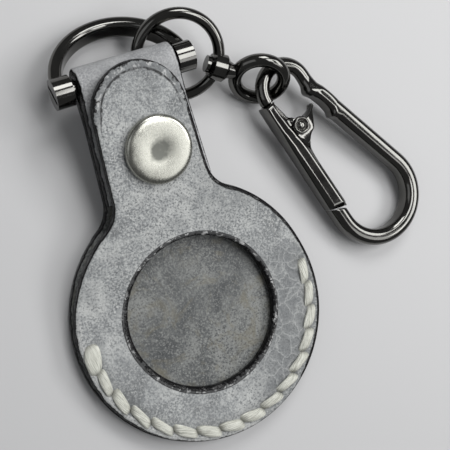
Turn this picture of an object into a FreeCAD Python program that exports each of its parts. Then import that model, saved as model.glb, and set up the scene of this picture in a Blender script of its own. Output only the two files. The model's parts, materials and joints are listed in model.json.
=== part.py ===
import FreeCAD
import Part
import math
import os

# Leather tag holder: a round pocket with a window, a neck strap folded round a shackle pin,
# a press stud on the neck, and a swivel with a key carabiner. It lies on its back, front up.
# Millimetres. Origin: centre of the round pocket on its back face. +Y: towards the shackle.

# Leather body
leather = 2.1
front_radius = 24.2
back_overhang = 0.4
window_rim = 9.8
neck_half_width = 8.8
neck_flare_deg = 4.0
neck_left_flare_deg = 2.0
neck_fillet = 6.0
strap_overhang = 0.5
strap_shift = -0.7
neck_bend_y = 20.0
neck_slope_deg = 15.0
tail_gap = 0.12
tail_end = 5.6
tongue_tip_y = 47.5
tongue_shift = -1.1
tongue_gap = 1.05
bend_slit = 0.1
cut_overrun = 5.0

# Strap loop round the shackle pin
pin_y = 46.0
pin_sink = 0.45
loop_dip_deg = 15.0
loop_rise_deg = 8.0
pin_clearance = 0.05

# Saddle stitching round the pocket
stitch_count = 16
stitch_inset = 1.8
stitch_first_deg = -183.8
stitch_span_deg = 190.2
groove_lead_deg = 3.0
thread = 1.2
stitch_waist = 1.5
thread_proud = 0.65
thread_clearance = 0.02
groove_width = 1.8
groove_depth = 0.7
groove_relief = 0.08

# Press stud on the neck
stud_along = 13.9
cap_diameter = 12.5
cap_height = 1.5
cap_round = 0.6
cap_dish_diameter = 8.0
cap_dish_depth = 0.5
post_diameter = 3.2
post_clearance = 0.03
rear_flange_diameter = 10.0
rear_flange = 0.7
clinch_diameter = 3.9
clinch = 0.2
stud_flange_diameter = 8.6
stud_flange = 0.35
stud_bulb_diameter = 6.0
stud_waist_diameter = 5.4
stud_inner_diameter = 4.2
stud_waist_height = 0.75
stud_bulb_height = 0.35
stud_wall = 0.25
socket_diameter = 10.0
socket_height = 1.7
socket_web = 0.35
socket_bore_diameter = 7.0
socket_mouth_diameter = 6.24
socket_lip = 0.15
socket_lift = 0.1
socket_clearance = 0.1
spring_wire = 0.45
spring_opening_deg = 40.0
collar_diameter = 4.4
collar = 0.2

# Shackle
shackle_pin = 2.8
strap_side_clearance = 0.7
shackle_slide_share = -0.3
ear_length = 3.3
ear_diameter = 5.6
bow_thickness = 2.4
bow_depth = 3.8
bow_round = 0.9
bow_height = 12.8
bow_tilt_deg = 32.5
screw_head_diameter = 4.4
screw_head = 0.8
screw_slot_width = 0.8
screw_slot_depth = 0.45

# Swivel: a loop on the bow, and an eye that turns in the loop's boss
loop_radius = 7.8
loop_wire = 2.2
loop_x = 11.1
loop_y = 46.9
loop_z = 5.7
loop_lean_deg = 14.0
loop_pitch_deg = 24.0
swivel_heading_deg = -31.5
boss_diameter = 5.2
boss_length = 3.4
boss_offset = 0.3
boss_chamfer = 0.5
stem_diameter = 2.2
stem_clearance = 0.06
stem_head_diameter = 3.2
stem_head = 0.7
swivel_play = 0.12
eye_radius = 4.7
eye_wire = 2.6
eye_neck = 0.8
eye_neck_diameter = 3.6
eye_roll_deg = 27.0

# Carabiner frame, in its own plane: first along its length, then across towards the spine
carabiner_x = 29.95
carabiner_y = 35.0
carabiner_heading_deg = -71.1
carabiner_lift = 3.5
carabiner_tilt_deg = 4.0
carabiner_depth = 4.4
bar_width = 3.3
bar_round = 0.9
top_bend = 4.7
top_wire = 2.9
top_depth = 2.6
top_taper = 5.0
hook_bend = 8.6
hook_along = 28.5
hook_across = 3.35
spine_slope_deg = 17.0
spine_corner_along = 3.3
scallop_start_along = 3.2
scallop_end_along = 9.6
scallop_depth = 0.5
shoulder_along = 0.3

# Carabiner gate and its pivot
rivet_along = 7.3
rivet_across = -2.25
rivet_diameter = 1.8
rivet_head_diameter = 3.4
rivet_head = 0.35
rivet_clearance = 0.03
gate_gap = 0.2
gate_slot = 2.6
gate_wall = 0.6
gate_round = 0.45
gate_width = 3.9
gate_end_outer = 24.5
gate_end_inner = 26.2
gate_web_along = 11.2
horn_along = 5.6
horn_across = 2.9
lobe_radius = 3.1
lobe_foot_along = 12.6
tongue_plate = 1.4
tongue_lobe = 1.8
tongue_width = 1.4
tongue_bend_along = 3.8
gate_spring_wire = 0.4
gate_spring_radius = 1.5
gate_spring_leg = 3.4
gate_spring_tail = 2.4


def vec(x, y, z):
    return FreeCAD.Vector(x, y, z)


def sine(degrees):
    return math.sin(math.radians(degrees))


def cosine(degrees):
    return math.cos(math.radians(degrees))


def tangent(degrees):
    return math.tan(math.radians(degrees))


X_AXIS = vec(1, 0, 0)
Z_AXIS = vec(0, 0, 1)
ORIGIN = vec(0, 0, 0)

# Heights above the strap's back face, in the sloping frame of the neck
tail_low = leather + tail_gap
tail_top = tail_low + leather
tongue_low = tail_top + tongue_gap
tongue_top = tongue_low + leather
front_top = leather + leather
pin_rise = leather - pin_sink
loop_inner = shackle_pin / 2 + pin_clearance
loop_outer = loop_inner + leather
pin_along = (pin_y - neck_bend_y + pin_rise * sine(neck_slope_deg)) / cosine(neck_slope_deg)
fold_y = neck_bend_y - (tongue_low / cosine(neck_slope_deg) - leather) / tangent(neck_slope_deg)
fold_top_y = fold_y - leather * tangent(neck_slope_deg / 2)
back_radius = front_radius + back_overhang
window_radius = front_radius - window_rim


def on_neck(along, height):
    """A point of the middle plane, measured along and square to the neck strap."""
    y = neck_bend_y + along * cosine(neck_slope_deg) - height * sine(neck_slope_deg)
    z = along * sine(neck_slope_deg) + height * cosine(neck_slope_deg)
    return vec(0, y, z)


def outline(start, *steps):
    """A closed face: each step is an end point, or a (through, end) pair for an arc."""
    edges = []
    here = start
    for step in steps:
        if isinstance(step, tuple):
            through, end = step
            edges.append(Part.Arc(here, through, end).toShape())
        else:
            end = step
            edges.append(Part.LineSegment(here, end).toShape())
        here = end
    if here.distanceToPoint(start) > 0:
        edges.append(Part.LineSegment(here, start).toShape())
    return Part.Face(Part.Wire(edges))


def across(face, half_width):
    """A side profile swept square to the middle plane, to both sides."""
    solid = face.extrude(vec(2 * half_width, 0, 0))
    solid.translate(vec(-half_width, 0, 0))
    return solid


def turned(*points):
    """A solid of revolution about Z from (radius, height) points."""
    corners = [vec(radius, 0, height) for radius, height in points]
    face = Part.Face(Part.makePolygon(corners + corners[:1]))
    return face.revolve(ORIGIN, Z_AXIS, 360)


def upright(radius, low, high, x=0, y=0):
    return Part.makeCylinder(radius, high - low, vec(x, y, low), Z_AXIS)


# Leather

def neck_side(radius, half_width, flare_from_y, flare_deg):
    """One side of the neck: its top, the foot of its straight, the fillet's middle, and the pocket."""
    out = vec(cosine(flare_deg), sine(flare_deg), 0)
    down = vec(sine(flare_deg), -cosine(flare_deg), 0)
    top = vec(half_width, flare_from_y, 0)
    reach = radius + neck_fillet
    offset = top + out * neck_fillet
    middle = offset.dot(down)
    run = -middle - math.sqrt(middle ** 2 - offset.dot(offset) + reach ** 2)
    centre = offset + down * run
    radial = centre / reach
    inward = (out + radial).normalize()
    return top, centre - out * neck_fillet, centre - inward * neck_fillet, radial * radius


def plan(radius, half_width, shift, flare_from_y, top_steps):
    """The round pocket with its neck, seen from the front, as a tall prism."""
    top, side, waist, foot = neck_side(radius, half_width + shift, flare_from_y, neck_flare_deg)
    left_side = neck_side(radius, half_width - shift, flare_from_y, neck_left_flare_deg)
    left = [vec(-p.x, p.y, 0) for p in left_side]
    face = outline(
        left[0], left[1], (left[2], left[3]), (vec(0, -radius, 0), foot), (waist, side), top, *top_steps)
    face.translate(vec(0, 0, -cut_overrun))
    return face.extrude(vec(0, 0, tongue_tip_y))


def loop_point(radius, degrees):
    """A point on the strap loop, turned from straight up away from the pocket."""
    centre = on_neck(pin_along, pin_rise)
    turn = degrees - neck_slope_deg
    return centre + vec(0, radius * sine(turn), radius * cosine(turn))


def leave_loop(height, radius, degrees, side):
    """Where a strap face at this height starts to lean towards the loop."""
    level = side * (height - pin_rise) * cosine(degrees)
    return on_neck(pin_along - (radius - level) / sine(degrees), height)


def strap_profile():
    low_turn = 180 + loop_dip_deg
    return outline(
        on_neck(tail_end, tail_top),
        leave_loop(tail_top, loop_outer, loop_rise_deg, 1),
        loop_point(loop_outer, -loop_rise_deg),
        (loop_point(loop_outer, 90), loop_point(loop_outer, low_turn)),
        leave_loop(0, loop_outer, loop_dip_deg, -1),
        on_neck(0, 0),
        vec(0, -back_radius - cut_overrun, 0),
        vec(0, -back_radius - cut_overrun, leather),
        vec(0, neck_bend_y - leather * tangent(neck_slope_deg / 2), leather),
        leave_loop(leather, loop_inner, loop_dip_deg, -1),
        loop_point(loop_inner, low_turn),
        (loop_point(loop_inner, 90), loop_point(loop_inner, -loop_rise_deg)),
        leave_loop(tail_low, loop_inner, loop_rise_deg, 1),
        on_neck(tail_end, tail_low))


def stitch_points():
    radius = front_radius - stitch_inset
    step = stitch_span_deg / stitch_count
    turns = [stitch_first_deg + step * index for index in range(stitch_count + 1)]
    return [vec(radius * cosine(turn), radius * sine(turn), 0) for turn in turns]


def stitch_holes():
    radius = thread / 2 + thread_clearance
    return [upright(radius, -cut_overrun, front_top + cut_overrun, p.x, p.y) for p in stitch_points()]


def stitch_groove():
    radius = front_radius - stitch_inset
    turn = stitch_span_deg + 2 * groove_lead_deg
    wide = Part.makeCylinder(radius + groove_width / 2, groove_depth, ORIGIN, Z_AXIS, turn)
    core = Part.makeCylinder(radius - groove_width / 2, groove_depth, ORIGIN, Z_AXIS, turn)
    groove = wide.cut(core)
    groove.rotate(ORIGIN, Z_AXIS, stitch_first_deg - groove_lead_deg)
    return groove


def neck_placed(shape):
    """Seat a shape, made about Z, square on the neck where the press stud is."""
    shape.Placement = FreeCAD.Placement(on_neck(stud_along, 0), FreeCAD.Rotation(X_AXIS, neck_slope_deg))
    return shape


def back_panel():
    half_width = neck_half_width + strap_overhang
    top_y = pin_y + loop_outer + cut_overrun
    corners = [vec(strap_shift + half_width, top_y, 0), vec(strap_shift - half_width, top_y, 0)]
    prism = plan(back_radius, half_width, strap_shift, pin_y, corners)
    band = across(strap_profile(), back_radius + cut_overrun).common(prism)
    post = neck_placed(upright(post_diameter / 2 + post_clearance, -cut_overrun, tail_top + tongue_gap / 2))
    return band.cut(stitch_holes() + [stitch_groove(), post])


def front_prism():
    tip_base = tongue_tip_y - neck_half_width
    tip = (vec(tongue_shift, tongue_tip_y, 0), vec(tongue_shift - neck_half_width, tip_base, 0))
    return plan(front_radius, neck_half_width, tongue_shift, tip_base, [tip])


def front_panel():
    face = outline(
        vec(0, -front_radius - cut_overrun, leather), vec(0, fold_y, leather),
        vec(0, fold_top_y, front_top), vec(0, -front_radius - cut_overrun, front_top))
    sheet = across(face, front_radius + cut_overrun).common(front_prism())
    return sheet.cut(stitch_holes() + [upright(window_radius, 0, front_top + cut_overrun)])


def front_flap():
    slit = vec(0, bend_slit * cosine(neck_slope_deg), bend_slit * sine(neck_slope_deg))
    far = pin_along + loop_outer + cut_overrun
    face = outline(
        vec(0, fold_y, leather) + slit, on_neck(far, tongue_low), on_neck(far, tongue_top),
        vec(0, fold_top_y, front_top) + slit)
    sheet = across(face, front_radius + cut_overrun).common(front_prism())
    socket_seat = neck_placed(upright(socket_diameter / 2 + socket_clearance, tail_top, socket_top))
    post = neck_placed(upright(post_diameter / 2 + post_clearance, tail_top, tongue_top + cap_height))
    return sheet.cut([upright(window_radius, 0, tongue_tip_y), socket_seat, post])


def stitch_bar(start, end, low, high):
    """One stitch between two holes: narrow at its ends, full in its middle."""
    lengthwise = (end - start).normalize()
    side = vec(-lengthwise.y, lengthwise.x, 0)
    middle = (start + end) / 2
    tip = side * (thread / 4)
    belly = side * (stitch_waist / 2)
    face = outline(
        start + tip, start - tip, (middle - belly, end - tip), end + tip, (middle + belly, start + tip))
    face.translate(vec(0, 0, low))
    return face.extrude(vec(0, 0, high - low))


def stitch_thread():
    points = stitch_points()
    solids = []
    for start, end in zip(points, points[1:]):
        solids.append(stitch_bar(start, end, front_top, front_top + thread_proud))
        solids.append(stitch_bar(start, end, groove_relief, groove_depth))
    for point in points:
        solids.append(upright(thread / 2, groove_relief, front_top + thread_proud / 3, point.x, point.y))
    return solids[0].multiFuse(solids[1:]).removeSplitter()


# Press stud

socket_low = tail_top + stud_flange + socket_lift
socket_top = socket_low + socket_height
stud_top = tail_top + stud_flange + stud_waist_height + stud_bulb_height
cap_top = tongue_top + cap_height


def snap_cap():
    rim = cap_diameter / 2
    post = post_diameter / 2
    web_low = socket_top - socket_web
    return neck_placed(turned(
        (0, web_low - collar), (collar_diameter / 2, web_low - collar), (collar_diameter / 2, web_low),
        (post, web_low), (post, tongue_top), (rim - cap_round, tongue_top),
        (rim, tongue_top + cap_round / 2), (rim, cap_top - cap_round), (rim - cap_round, cap_top),
        (cap_dish_diameter / 2, cap_top), (cap_dish_diameter / 4, cap_top - cap_dish_depth),
        (0, cap_top - cap_dish_depth)))


def snap_socket():
    bore = socket_bore_diameter / 2
    mouth = socket_mouth_diameter / 2
    hole = post_diameter / 2 + post_clearance
    return neck_placed(turned(
        (hole, socket_top), (socket_diameter / 2, socket_top), (socket_diameter / 2, socket_low),
        (mouth, socket_low), (mouth, socket_low + socket_lip), (bore, socket_low + socket_lip),
        (bore, socket_top - socket_web), (hole, socket_top - socket_web)))


def snap_spring():
    """A wire ring, open at one side, that lies on the socket's lip."""
    radius = socket_bore_diameter / 2 - spring_wire / 2 - post_clearance
    level = socket_low + socket_lip + spring_wire / 2
    section = Part.Face(Part.Wire(Part.makeCircle(spring_wire / 2, vec(radius, 0, level), vec(0, 1, 0))))
    ring = section.revolve(ORIGIN, Z_AXIS, 360 - spring_opening_deg)
    return neck_placed(ring)


def snap_stud():
    flange_top = tail_top + stud_flange
    waist_top = flange_top + stud_waist_height
    bulb = stud_bulb_diameter / 2
    waist = stud_waist_diameter / 2
    inner = stud_inner_diameter / 2
    hole = post_diameter / 2 + post_clearance
    return neck_placed(turned(
        (hole, tail_top), (stud_flange_diameter / 2, tail_top), (stud_flange_diameter / 2, flange_top),
        (waist, flange_top), (waist, waist_top), (bulb, waist_top + stud_bulb_height / 3),
        (waist, stud_top), (0, stud_top), (0, stud_top - stud_wall), (inner, stud_top - stud_wall),
        (inner, flange_top), (hole, flange_top)))


def snap_rear_post():
    post = post_diameter / 2
    seat = tail_top + stud_flange
    flange = rear_flange_diameter / 2
    return neck_placed(turned(
        (0, -rear_flange), (flange - rear_flange, -rear_flange), (flange, -rear_flange / 3), (flange, 0),
        (post, 0), (post, seat), (clinch_diameter / 2, seat), (clinch_diameter / 2, seat + clinch),
        (0, seat + clinch)))


# Shackle, made about its pin with the bow towards +Y, then tilted down to the table

shackle_gap = 2 * (neck_half_width + strap_overhang + strap_side_clearance)
shackle_slide = strap_shift + strap_side_clearance * shackle_slide_share
bow_half_width = shackle_gap / 2 + ear_length


def shackle_placed(shape):
    turn = FreeCAD.Rotation(X_AXIS, -bow_tilt_deg)
    seat = on_neck(pin_along, pin_rise) + X_AXIS * shackle_slide
    shape.Placement = FreeCAD.Placement(seat, turn)
    return shape


def bow_arch(inset):
    """The arch's plan, a full ellipse about the pin's middle, moved in by the inset."""
    half_width = bow_half_width - inset
    rise = bow_height - inset
    ellipse = Part.Ellipse(ORIGIN, max(half_width, rise), min(half_width, rise)).toShape()
    if rise > half_width:
        ellipse.rotate(ORIGIN, Z_AXIS, 90)
    face = Part.Face(Part.Wire(ellipse))
    face.translate(vec(0, 0, -bow_depth / 2))
    return face.extrude(vec(0, 0, bow_depth))


def shackle_bow():
    reach = bow_half_width + cut_overrun
    lower = Part.makeBox(2 * reach, bow_height + cut_overrun, 2 * bow_depth)
    lower.translate(vec(-reach, -bow_height - cut_overrun, -bow_depth))
    band = bow_arch(0).cut([bow_arch(bow_thickness), lower])
    rims = [edge for edge in band.Edges if abs(edge.CenterOfMass.z) > bow_depth / 2 - bow_round]
    band = band.makeFillet(bow_round, [edge for edge in rims if edge.CenterOfMass.y > bow_thickness])
    ears = []
    for side in (1, -1):
        inner = vec(side * shackle_gap / 2, 0, 0)
        ears.append(Part.makeCylinder(ear_diameter / 2, ear_length, inner, X_AXIS * side))
    hole = Part.makeCylinder(shackle_pin / 2, 2 * bow_half_width, vec(-bow_half_width, 0, 0), X_AXIS)
    seat = Part.makeCylinder(screw_head_diameter / 2, screw_head, vec(-bow_half_width, 0, 0), X_AXIS)
    bow = band.multiFuse(ears).cut([hole, seat]).removeSplitter()
    return shackle_placed(bow)


def shackle_screw():
    outer = vec(-bow_half_width, 0, 0)
    shank = Part.makeCylinder(shackle_pin / 2, 2 * bow_half_width, outer, X_AXIS)
    head = Part.makeCylinder(screw_head_diameter / 2, screw_head, outer, X_AXIS)
    slot_from = vec(-bow_half_width, -screw_head_diameter, -screw_slot_width / 2)
    slot = Part.makeBox(screw_slot_depth, 2 * screw_head_diameter, screw_slot_width, slot_from)
    return shackle_placed(shank.fuse(head).removeSplitter().cut(slot))


# Swivel, made in the plane of its loop with the boss towards +X

def swivel_placement():
    heading = vec(cosine(swivel_heading_deg), sine(swivel_heading_deg), 0)
    lean = vec(tangent(loop_lean_deg), tangent(loop_pitch_deg), 0)
    axis = (heading + Z_AXIS * heading.dot(lean)).normalize()
    normal = (Z_AXIS - lean).normalize()
    side = normal.cross(axis)
    turn = FreeCAD.Rotation(axis, side, normal, "ZXY")
    return FreeCAD.Placement(vec(loop_x, loop_y, loop_z), turn)


def along_stem(shape):
    """Turn a shape made about Z so that it lies along the swivel's stem."""
    shape.rotate(ORIGIN, vec(0, 1, 0), 90)
    return shape


boss_middle = loop_radius + boss_offset
boss_inner = boss_middle - boss_length / 2
boss_outer = boss_middle + boss_length / 2
eye_middle = boss_outer + swivel_play + eye_neck + eye_wire / 2 + eye_radius


def swivel_loop():
    ring = Part.makeTorus(loop_radius, loop_wire / 2)
    wide = boss_diameter / 2
    boss = along_stem(turned(
        (0, boss_inner), (wide - boss_chamfer, boss_inner), (wide, boss_inner + boss_chamfer),
        (wide, boss_outer - boss_chamfer), (wide - boss_chamfer, boss_outer), (0, boss_outer)))
    bore_radius = stem_diameter / 2 + stem_clearance
    bore = along_stem(upright(bore_radius, boss_inner - boss_chamfer, boss_outer + cut_overrun))
    loop = ring.fuse(boss).cut(bore)
    loop.Placement = swivel_placement()
    return loop


def swivel_eye():
    ring = Part.makeTorus(eye_radius, eye_wire / 2)
    ring.translate(vec(eye_middle, 0, 0))
    ring.rotate(ORIGIN, X_AXIS, eye_roll_deg)
    head_low = boss_inner - swivel_play - stem_head
    stem = stem_diameter / 2
    head = stem_head_diameter / 2
    neck = eye_neck_diameter / 2
    shank = along_stem(turned(
        (0, head_low), (head, head_low), (head, head_low + stem_head), (stem, head_low + stem_head),
        (stem, boss_outer + swivel_play), (neck, boss_outer + swivel_play),
        (stem, eye_middle - eye_radius), (0, eye_middle - eye_radius)))
    eye = ring.fuse(shank)
    eye.Placement = swivel_placement()
    return eye


# Carabiner, made flat: X along its length, Y towards the spine, Z up

def carabiner_placed(shape):
    turn = FreeCAD.Rotation(Z_AXIS, carabiner_heading_deg).multiply(
        FreeCAD.Rotation(vec(0, 1, 0), carabiner_tilt_deg))
    seat = FreeCAD.Placement(vec(carabiner_x, carabiner_y, carabiner_lift + top_wire / 2), turn)
    shape.Placement = seat.multiply(shape.Placement)
    return shape


def slab(face, thickness):
    """A flat outline thickened evenly to both sides of the carabiner's middle plane."""
    solid = face.extrude(vec(0, 0, thickness))
    solid.translate(vec(0, 0, -thickness / 2))
    return solid


def eased(solid, round_radius):
    """Round the rims of a slab's two faces."""
    half = solid.BoundBox.ZLength / 2
    rims = [edge for edge in solid.Edges if abs(edge.CenterOfMass.z) > half - round_radius / 2]
    return solid.makeFillet(round_radius, rims)


def spine_across(along, offset):
    """The spine's straight edge, this far outside its middle line."""
    base = vec(hook_along, hook_across, 0)
    edge = base + vec(-sine(spine_slope_deg), cosine(spine_slope_deg), 0) * (hook_bend + offset)
    return edge.y + (along - edge.x) * tangent(spine_slope_deg)


def hook_point(radius, degrees):
    return vec(hook_along + radius * cosine(degrees), hook_across + radius * sine(degrees), 0)


def gate_end_across():
    return hook_across - hook_bend - bar_width / 2


def carabiner_frame():
    half = bar_width / 2
    outer_top = top_bend + half
    inner_top = top_bend - half
    outer_hook = hook_bend + half
    inner_hook = hook_bend - half
    spine_turn = 90 + spine_slope_deg
    scallop_middle = (scallop_start_along + scallop_end_along) / 2
    nose_outer = vec(gate_end_outer + gate_gap, gate_end_across(), 0)
    nose_inner = vec(gate_end_inner + gate_gap, gate_end_across() + bar_width, 0)
    face = outline(
        vec(0, outer_top, 0), vec(spine_corner_along, spine_across(spine_corner_along, half), 0),
        hook_point(outer_hook, spine_turn),
        (hook_point(outer_hook, 0), hook_point(outer_hook, -90)),
        nose_outer, nose_inner, hook_point(inner_hook, -90),
        (hook_point(inner_hook, 0), hook_point(inner_hook, spine_turn)),
        vec(scallop_end_along, spine_across(scallop_end_along, -half), 0),
        (vec(scallop_middle, spine_across(scallop_middle, scallop_depth - half), 0),
         vec(scallop_start_along, spine_across(scallop_start_along, -half), 0)),
        vec(0, inner_top, 0))
    body = eased(slab(face, carabiner_depth), bar_round)
    reach = hook_along + outer_hook + cut_overrun
    low = -carabiner_depth / 2
    high = carabiner_depth / 2
    side = outline(
        vec(0, -reach, -top_depth / 2), vec(top_taper, -reach, low), vec(reach, -reach, low),
        vec(reach, -reach, high), vec(top_taper, -reach, high), vec(0, -reach, top_depth / 2))
    body = body.common(side.extrude(vec(0, 2 * reach, 0)))
    bend = Part.makeTorus(top_bend, top_wire / 2, ORIGIN, Z_AXIS, 0, 360, 180)
    bend.rotate(ORIGIN, Z_AXIS, 90)
    arm = Part.makeCylinder(top_wire / 2, shoulder_along, vec(0, -top_bend, 0), X_AXIS)
    root_across = -top_bend - tongue_width / 2
    plate = slab(outline(
        vec(0, root_across, 0), vec(0, root_across + tongue_width, 0),
        vec(tongue_bend_along, root_across + tongue_width, 0),
        vec(rivet_along, rivet_across + tongue_lobe, 0), vec(rivet_along, rivet_across - tongue_lobe, 0),
        vec(tongue_bend_along, root_across, 0)), tongue_plate)
    lobe = upright(tongue_lobe, -tongue_plate / 2, tongue_plate / 2, rivet_along, rivet_across)
    hole = upright(rivet_diameter / 2, -carabiner_depth, carabiner_depth, rivet_along, rivet_across)
    return carabiner_placed(body.multiFuse([bend, arm, plate, lobe]).cut(hole).removeSplitter())


def carabiner_gate():
    outer = gate_end_across()
    inner = outer + gate_width
    start = shoulder_along + gate_gap
    top_outer = -top_bend - bar_width / 2
    crook_out = vec(rivet_along - tongue_lobe, rivet_across - tongue_lobe / 2, 0)
    foot = vec(lobe_foot_along, inner, 0)
    cheek = vec(rivet_along + lobe_radius * cosine(45), rivet_across + lobe_radius * sine(45), 0)
    face = outline(
        vec(start, top_outer, 0), vec(gate_end_outer, outer, 0), vec(gate_end_inner, inner, 0), foot,
        (vec((foot.x + cheek.x) / 2, (foot.y + cheek.y) / 2 - gate_wall, 0), cheek),
        vec(horn_along, horn_across, 0),
        (crook_out, vec(start, top_outer + bar_width * 2 / 3, 0)))
    body = eased(slab(face, carabiner_depth), gate_round)
    wall = outer + gate_wall
    far = horn_across + cut_overrun
    slot = slab(outline(
        vec(start - cut_overrun, wall, 0), vec(gate_web_along, wall, 0), vec(gate_web_along, far, 0),
        vec(start - cut_overrun, far, 0)), gate_slot)
    hole_radius = rivet_diameter / 2 + rivet_clearance
    hole = upright(hole_radius, -carabiner_depth, carabiner_depth, rivet_along, rivet_across)
    return carabiner_placed(body.cut([slot, hole]))


def gate_rivet():
    half = carabiner_depth / 2 + rivet_clearance
    shank = rivet_diameter / 2
    head = rivet_head_diameter / 2
    rivet = turned(
        (0, -half - rivet_head), (head - rivet_head, -half - rivet_head), (head, -half), (shank, -half),
        (shank, half), (head, half), (head - rivet_head, half + rivet_head), (0, half + rivet_head))
    rivet.translate(vec(rivet_along, rivet_across, 0))
    return carabiner_placed(rivet)


def gate_spring():
    """A torsion spring round the rivet, with one leg on the gate's web and one on the plate."""
    level = (tongue_plate + gate_slot) / 4
    wire = gate_spring_wire / 2
    coil = Part.makeTorus(gate_spring_radius, wire)
    leg = Part.makeCylinder(wire, gate_spring_leg, vec(0, -gate_spring_radius, 0), X_AXIS)
    tail = Part.makeCylinder(wire, gate_spring_tail, vec(0, -gate_spring_radius, 0), vec(-1, -1, 0))
    spring = coil.multiFuse([leg, tail])
    spring.translate(vec(rivet_along, rivet_across, level))
    return carabiner_placed(spring)


PIECES = {
    "back_panel": back_panel,
    "front_panel": front_panel,
    "front_flap": front_flap,
    "stitch_thread": stitch_thread,
    "snap_cap": snap_cap,
    "snap_socket": snap_socket,
    "snap_spring": snap_spring,
    "snap_stud": snap_stud,
    "snap_rear_post": snap_rear_post,
    "shackle_bow": shackle_bow,
    "shackle_screw": shackle_screw,
    "swivel_loop": swivel_loop,
    "swivel_eye": swivel_eye,
    "carabiner_frame": carabiner_frame,
    "carabiner_gate": carabiner_gate,
    "gate_rivet": gate_rivet,
    "gate_spring": gate_spring,
}

os.makedirs("parts", exist_ok=True)
for name, make in PIECES.items():
    shape = make()
    shape.exportStep("parts/" + name + ".step")
    box = shape.BoundBox
    print(name, len(shape.Solids), shape.isValid(), round(shape.Volume, 1), round(box.ZMin, 2))
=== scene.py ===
import bpy
import json
import math
import random
from mathutils import Matrix, Vector, geometry, noise


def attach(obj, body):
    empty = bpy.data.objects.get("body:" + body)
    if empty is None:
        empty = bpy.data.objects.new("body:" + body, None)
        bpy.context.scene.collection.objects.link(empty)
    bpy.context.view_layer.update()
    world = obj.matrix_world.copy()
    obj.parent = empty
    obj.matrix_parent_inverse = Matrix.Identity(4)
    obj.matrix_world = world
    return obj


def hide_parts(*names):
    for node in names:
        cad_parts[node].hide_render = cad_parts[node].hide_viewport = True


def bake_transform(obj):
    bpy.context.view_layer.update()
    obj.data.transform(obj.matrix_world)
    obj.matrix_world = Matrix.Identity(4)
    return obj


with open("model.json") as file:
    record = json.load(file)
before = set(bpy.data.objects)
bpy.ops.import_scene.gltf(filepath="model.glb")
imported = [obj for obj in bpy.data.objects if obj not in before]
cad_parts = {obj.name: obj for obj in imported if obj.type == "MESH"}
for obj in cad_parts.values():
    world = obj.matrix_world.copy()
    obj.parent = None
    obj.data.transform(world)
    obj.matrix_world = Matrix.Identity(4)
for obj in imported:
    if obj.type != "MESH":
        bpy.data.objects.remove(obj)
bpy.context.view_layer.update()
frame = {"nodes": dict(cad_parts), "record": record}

SCENE = bpy.context.scene
MM = 0.001
random.seed(7)

# Sizes of the leather in the frame of the solids, in millimetres; flares and stitch angles in degrees
LEATHER = 2.1  # thickness of each sheet
FRONT_R, BACK_R = 24.2, 24.6  # the pocket's round front and back
WINDOW_R, WINDOW_UP = 14.3, 0.35  # the window, and how far its middle lies above the pocket's
NECK_HALF, NECK_FILLET = 8.8, 6.0
RIGHT_FLARE, LEFT_FLARE = 4.0, 2.0  # how the neck's sides widen downwards
STRAP_OVER, STRAP_SHIFT = 0.5, -0.7  # the strap's extra half width, and its shift in X
TONGUE_TIP, TONGUE_SHIFT = 47.5, -1.1
BEND_Y, SLOPE = 20.0, math.radians(15.0)  # where the strap starts to climb, and how steeply
PIN_Y, PIN_RISE, LOOP_IN = 46.0, 1.65, 1.45  # the shackle's pin, and the strap's inner radius round it
DIP, RISE = math.radians(15.0), math.radians(8.0)  # the strap's turns into and out of that loop
TAIL_END, TAIL_LOW, TONGUE_LOW = 5.6, 2.22, 5.37  # the strap's end, and the undersides of its tail and the tongue
STUD_ALONG = 13.9
STITCHES, STITCH_R, STITCH_FIRST, STITCH_SPAN = 16, 22.4, -183.8, 190.2
STITCH_DRIFT = 0.4  # how much further in the holes lie on the right
GROOVE_WIDE, GROOVE_DEEP, GROOVE_SOFT = 1.8, 0.7, 0.15  # the groove behind that takes the rear stitches
PIN_ALONG = (PIN_Y - BEND_Y + PIN_RISE * math.sin(SLOPE)) / math.cos(SLOPE)
FOLD_Y = BEND_Y - (TONGUE_LOW / math.cos(SLOPE) - LEATHER) / math.tan(SLOPE)
FOLD_SOFT = 1.6  # how gradually the front sheet bends


def on_neck(along, height):
    """(y, z) of a point measured along and square to the sloping neck strap."""
    y = BEND_Y + along * math.cos(SLOPE) - height * math.sin(SLOPE)
    return y, along * math.sin(SLOPE) + height * math.cos(SLOPE)


# Lines and loops

def smooth_step(value, low, high):
    """Ease from 0 at low to 1 at high."""
    t = min(1.0, max(0.0, (value - low) / (high - low)))
    return t * t * (3 - 2 * t)


def bell(value, width):
    """1 at zero, fading over about this width."""
    return math.exp(-(value / width) ** 2)


def arc(cx, cy, radius, start, end, step=0.6):
    """Points on an arc, its last one left out. Angles in degrees."""
    count = max(3, int(abs(math.radians(end - start)) * radius / step))
    turns = [math.radians(start + (end - start) * i / count) for i in range(count)]
    return [(cx + radius * math.cos(t), cy + radius * math.sin(t)) for t in turns]


def run(a, b, step=0.6):
    """Points on a straight run, its last one left out."""
    count = max(1, int(math.dist(a, b) / step))
    return [(a[0] + (b[0] - a[0]) * i / count, a[1] + (b[1] - a[1]) * i / count) for i in range(count)]


def arc_through(a, through, b, step=0.25):
    """Points from a towards b on the arc through three points, the last one left out."""
    ax, ay = a
    bx, by = through
    cx, cy = b
    d = 2 * (ax * (by - cy) + bx * (cy - ay) + cx * (ay - by))
    aa, bb, cc = (x ** 2 + y ** 2 for x, y in (a, through, b))
    ux = (aa * (by - cy) + bb * (cy - ay) + cc * (ay - by)) / d
    uy = (aa * (cx - bx) + bb * (ax - cx) + cc * (bx - ax)) / d
    radius = math.dist(a, (ux, uy))
    start, middle, end = (math.degrees(math.atan2(y - uy, x - ux)) for x, y in (a, through, b))
    turn = (end - start) % 360
    if (middle - start) % 360 > turn:
        turn -= 360
    return arc(ux, uy, radius, start, start + turn, step)


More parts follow.
